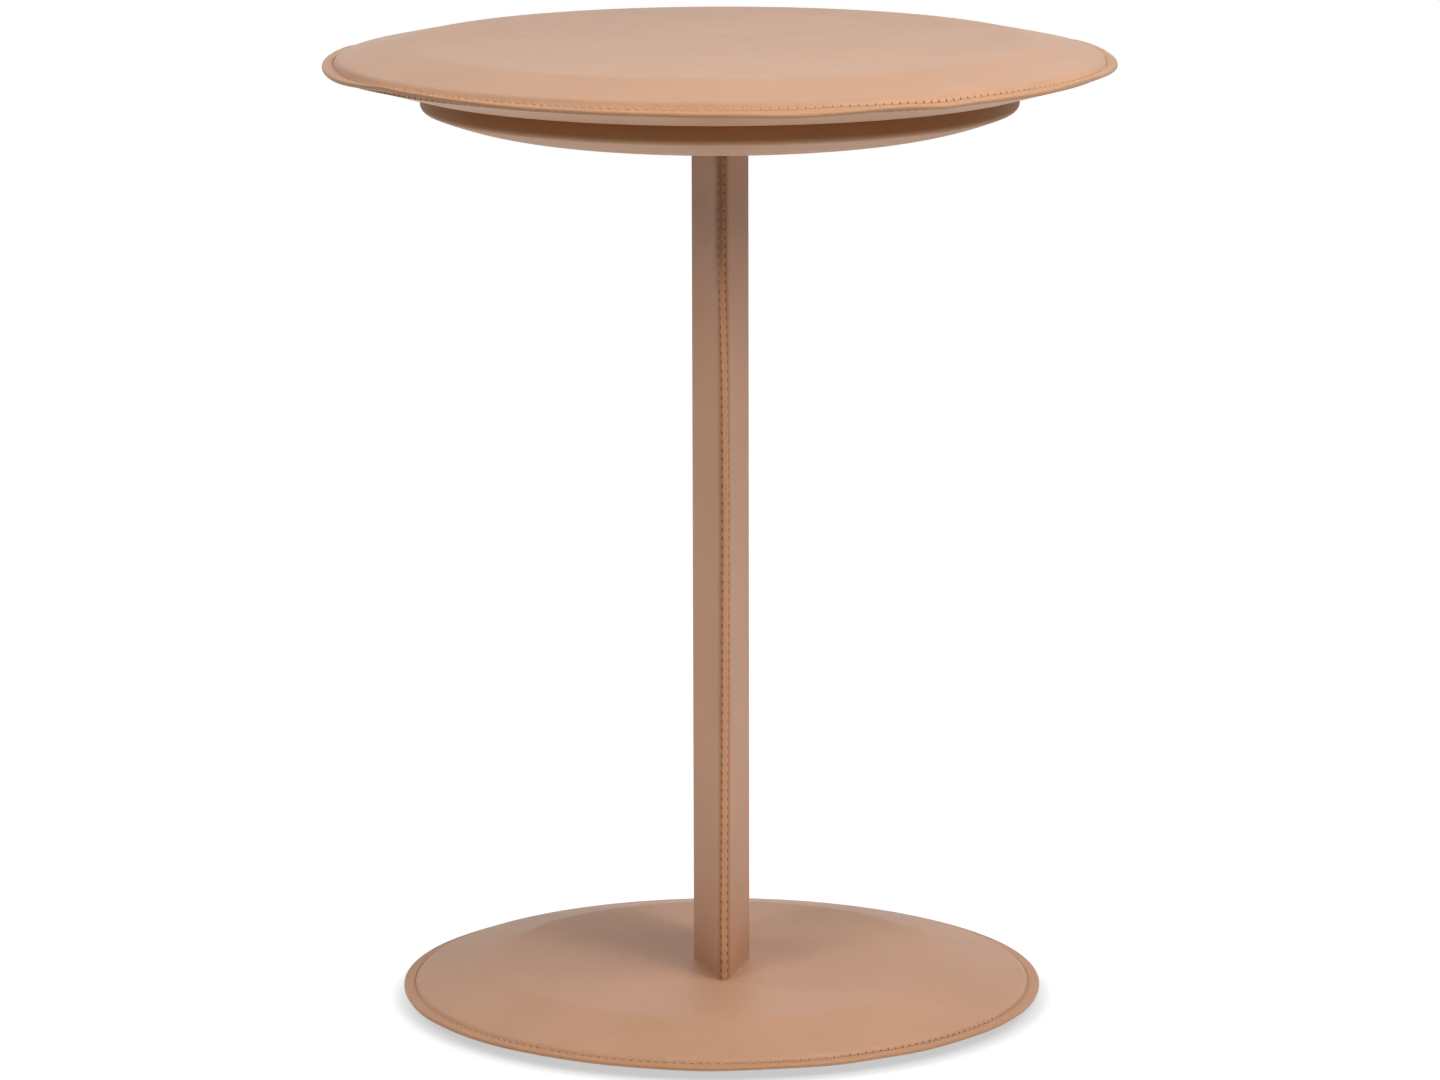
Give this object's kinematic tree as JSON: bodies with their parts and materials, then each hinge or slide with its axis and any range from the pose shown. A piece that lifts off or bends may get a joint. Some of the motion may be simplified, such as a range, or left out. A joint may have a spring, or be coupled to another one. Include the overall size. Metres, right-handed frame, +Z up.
{
  "type": "pedestal side table",
  "caption": "Round side table wrapped in tan saddle leather, with a lens-shaped top, a narrow column with sewn fins and a weighted lens-shaped base.",
  "frame": {"origin": "on the floor under the middle of the column", "axes": "+Z up the column, -Y towards the front fin, +X to the right seen from the front"},
  "size_m": [0.45, 0.45, 0.557],
  "materials": {
    "saddle_leather": "satin",
    "plywood": "matte",
    "hardwood": "matte",
    "cast_iron": "matte",
    "zinc_plated_steel": "satin",
    "brass": "satin",
    "nylon": "matte",
    "waxed_thread": "satin"
  },
  "bodies": {
    "root": {"tabletop_upper_skin": "saddle_leather", "tabletop_lower_skin": "saddle_leather", "mounting_disc_skin": "saddle_leather", "column_left_skin": "saddle_leather", "column_right_skin": "saddle_leather", "base_upper_skin": "saddle_leather", "base_lower_skin": "saddle_leather", "tabletop_core": "plywood", "mounting_disc_core": "plywood", "column_core_left": "hardwood", "column_core_right": "hardwood", "ballast_disc": "cast_iron", "spreader_plate": "zinc_plated_steel", "tabletop_screw_front_left": "zinc_plated_steel", "tabletop_screw_front_right": "zinc_plated_steel", "tabletop_screw_rear_left": "zinc_plated_steel", "tabletop_screw_rear_right": "zinc_plated_steel", "tabletop_washer_front_left": "zinc_plated_steel", "tabletop_washer_front_right": "zinc_plated_steel", "tabletop_washer_rear_left": "zinc_plated_steel", "tabletop_washer_rear_right": "zinc_plated_steel", "glide_screw_front_left": "zinc_plated_steel", "glide_screw_front_right": "zinc_plated_steel", "glide_screw_rear_left": "zinc_plated_steel", "glide_screw_rear_right": "zinc_plated_steel", "tie_rod_front": "zinc_plated_steel", "tie_rod_rear": "zinc_plated_steel", "tie_nut_top_front": "zinc_plated_steel", "tie_nut_top_rear": "zinc_plated_steel", "tie_washer_top_front": "zinc_plated_steel", "tie_washer_top_rear": "zinc_plated_steel", "tie_nut_bottom_front": "zinc_plated_steel", "tie_nut_bottom_rear": "zinc_plated_steel", "tie_washer_bottom_front": "zinc_plated_steel", "tie_washer_bottom_rear": "zinc_plated_steel", "threaded_insert_front_left": "brass", "threaded_insert_front_right": "brass", "threaded_insert_rear_left": "brass", "threaded_insert_rear_right": "brass", "glide_front_left": "nylon", "glide_front_right": "nylon", "glide_rear_left": "nylon", "glide_rear_right": "nylon"}
  },
  "joints": []
}
